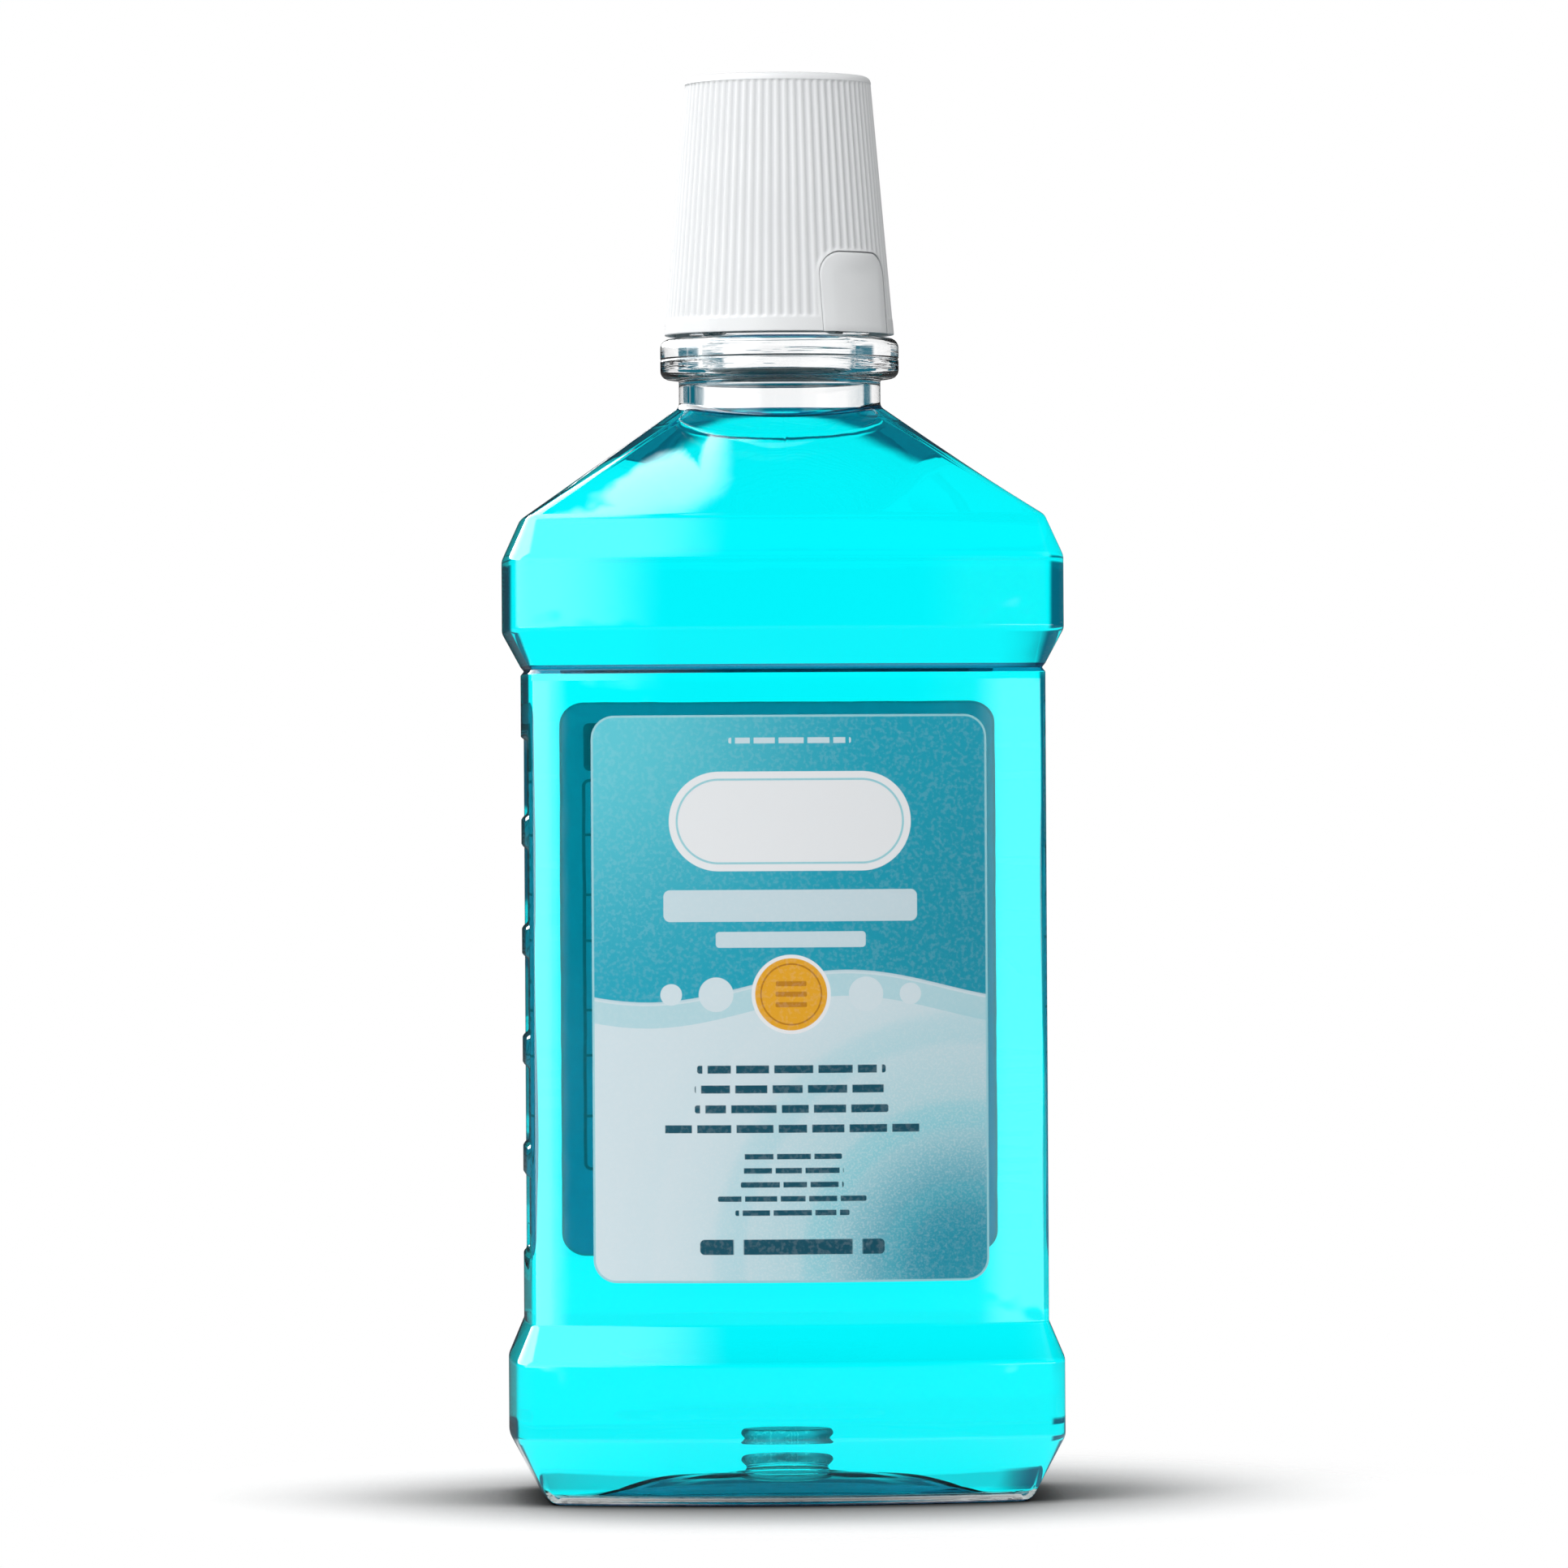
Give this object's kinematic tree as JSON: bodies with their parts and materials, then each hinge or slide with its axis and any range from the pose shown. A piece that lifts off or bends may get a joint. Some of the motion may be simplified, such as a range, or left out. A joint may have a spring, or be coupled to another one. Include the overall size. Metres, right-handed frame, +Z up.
{
  "type": "mouthwash bottle",
  "caption": "Filled clear plastic mouthwash bottle with side grips, two labels and a tall ribbed squeeze-and-turn dosing cap.",
  "frame": {"origin": "centre of the standing ring's plane, below the middle of the bottle", "axes": "+Z up along the neck, -Y out of the front label, +X to the right seen from the front"},
  "size_m": [0.0788, 0.059, 0.2],
  "materials": {
    "clear_bottle": "gloss",
    "liquid": "gloss",
    "front_label_film": "satin",
    "back_label_film": "satin",
    "cap_plastic": "satin",
    "cup_plastic": "satin",
    "seal_foam": "matte"
  },
  "bodies": {
    "bottle": {"bottle": "clear_bottle", "mouthwash": "liquid", "front_label": "front_label_film", "back_label": "back_label_film"},
    "seal": {"cap_seal": "seal_foam"},
    "cap": {"cap_shell": "cap_plastic", "cap_cup": "cup_plastic"},
    "pad_a": {"squeeze_pad_a": "cap_plastic"},
    "pad_b": {"squeeze_pad_b": "cap_plastic"}
  },
  "joints": [
    {"name": "cap_lift", "type": "slide", "parent": "bottle", "child": "seal", "axis": [0, 0, 1], "range_m": [0, 0.02541]},
    {"name": "cap_turn", "type": "hinge", "parent": "seal", "child": "cap", "pos_m": [0, 0, 0.1813], "axis": [0, 0, 1], "range_deg": [0, 2160]},
    {"name": "pad_a_squeeze", "type": "hinge", "parent": "cap", "child": "pad_a", "pos_m": [0.0103, -0.01066, 0.1749], "axis": [0.7193, 0.6947, 0], "range_deg": [0, 5], "stiffness_Nm_per_rad": 2},
    {"name": "pad_b_squeeze", "type": "hinge", "parent": "cap", "child": "pad_b", "pos_m": [-0.0103, 0.01066, 0.1749], "axis": [-0.7193, -0.6947, 0], "range_deg": [0, 5], "stiffness_Nm_per_rad": 2}
  ],
  "couplings": [
    {"joint": "cap_lift", "follows": "cap_turn", "m_per_rad": 0.00067376}
  ]
}
